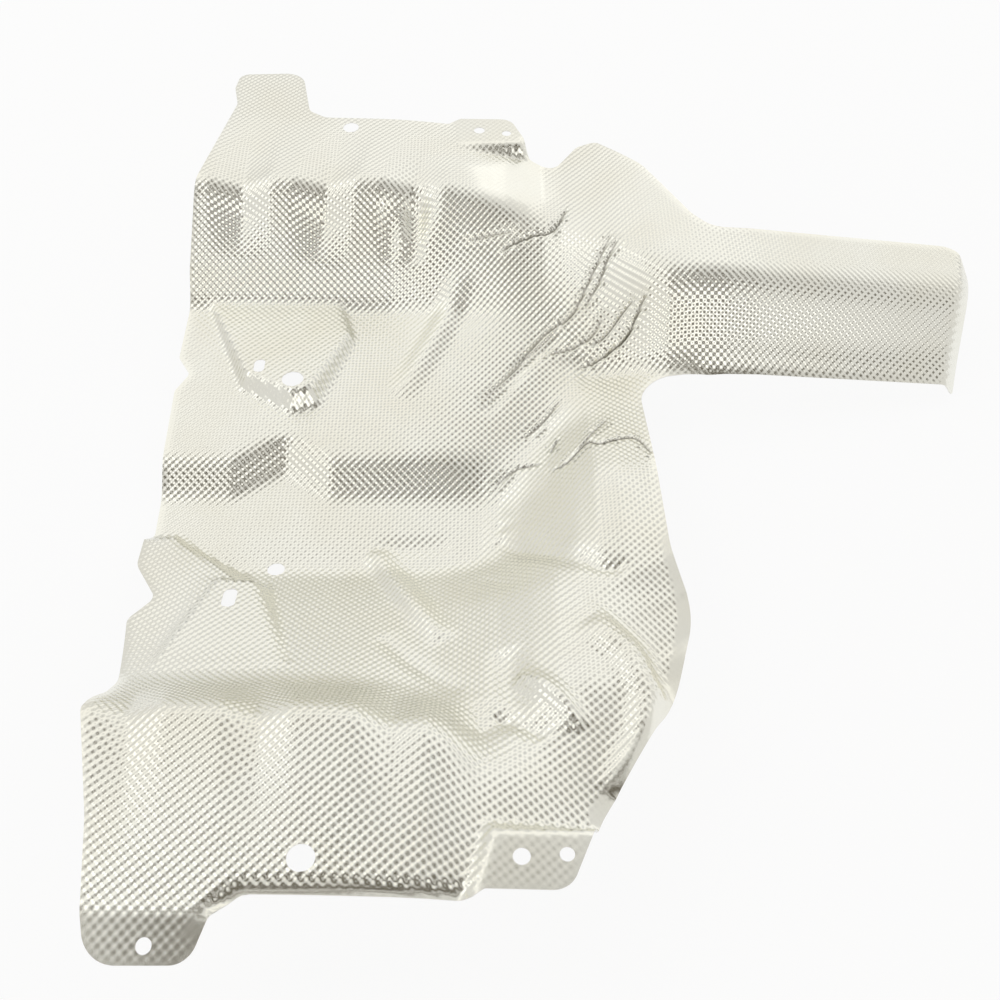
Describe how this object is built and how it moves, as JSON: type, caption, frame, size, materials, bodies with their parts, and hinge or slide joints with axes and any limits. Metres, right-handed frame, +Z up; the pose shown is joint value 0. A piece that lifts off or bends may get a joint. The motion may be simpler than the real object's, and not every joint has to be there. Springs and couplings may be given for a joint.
{
  "type": "exhaust heat shield",
  "caption": "Pressed sheet of embossed aluminium: an open trough between a grooved apron and rim, with raised pads, fixing tabs and a side arm along the pipe.",
  "frame": {"origin": "centre of the bounding box at its lowest level, under the trough floor", "axes": "+X along the trough towards the arm, +Y from the apron to the rim, +Z up out of the hollow side"},
  "size_m": [0.5746, 0.7124, 0.0939],
  "materials": {
    "sheet": "embossed, satin"
  },
  "bodies": {
    "root": {"heat_shield": "sheet"}
  },
  "joints": []
}
